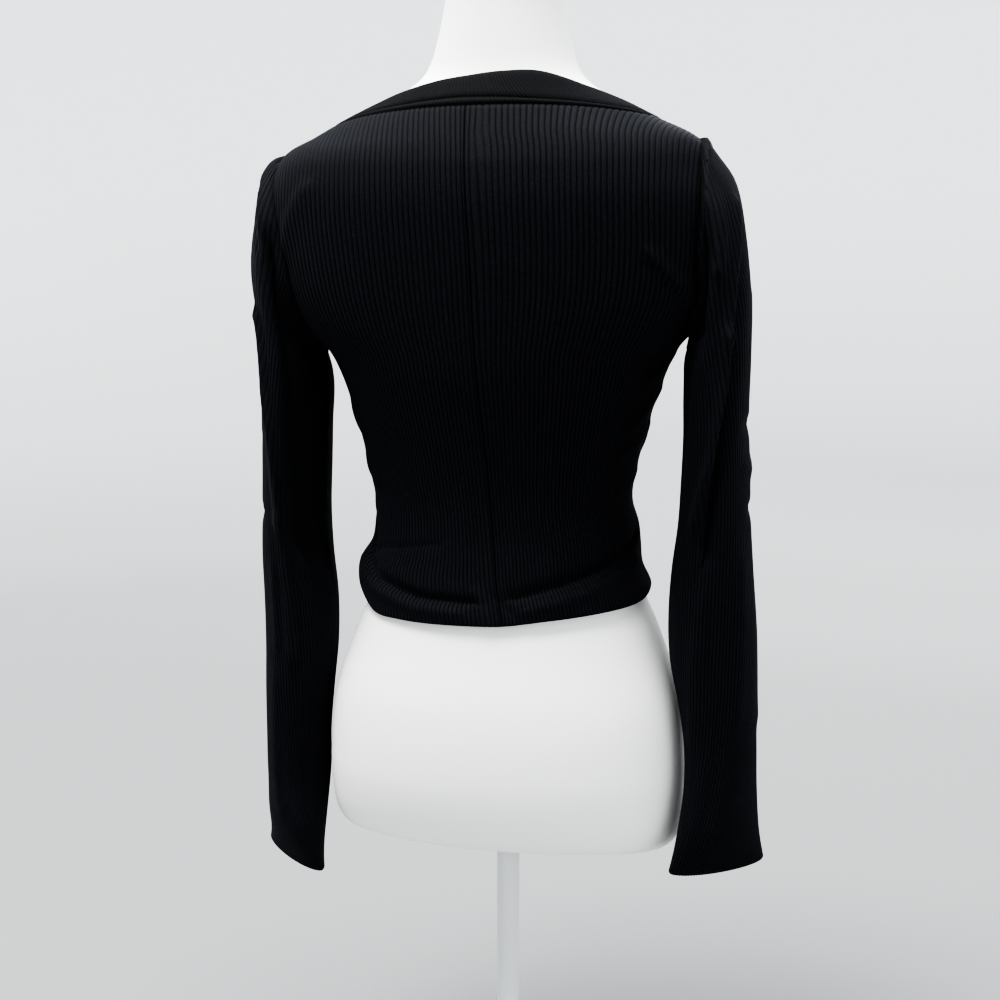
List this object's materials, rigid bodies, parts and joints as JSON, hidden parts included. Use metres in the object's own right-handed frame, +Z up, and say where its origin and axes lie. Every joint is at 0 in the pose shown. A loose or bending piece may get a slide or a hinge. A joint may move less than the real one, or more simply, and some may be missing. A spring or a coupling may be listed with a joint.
{
  "type": "crop top on a dress form",
  "caption": "Long-sleeved rib-knit crop top with a wide folded neckband, worn by a limbless dress form on a pole and round base.",
  "frame": {"origin": "centre of the round base's flat underside, on the pole's axis", "axes": "+Z up; +X to the wearer's left; +Y to the wearer's back, the side that the picture shows"},
  "size_m": [0.4527, 0.31, 1],
  "materials": {
    "rib_knit": "soft fine rib knit, near black, very slight sheen",
    "form_cover": "smooth tight jersey cover, off-white, matt",
    "stand_paint": "white paint, satin"
  },
  "bodies": {
    "root": {"back_left": "rib_knit", "back_right": "rib_knit", "front": "rib_knit", "sleeve_left": "rib_knit", "sleeve_right": "rib_knit", "neckband": "rib_knit", "dress_form": "form_cover", "pole": "stand_paint", "base": "stand_paint"}
  },
  "joints": []
}
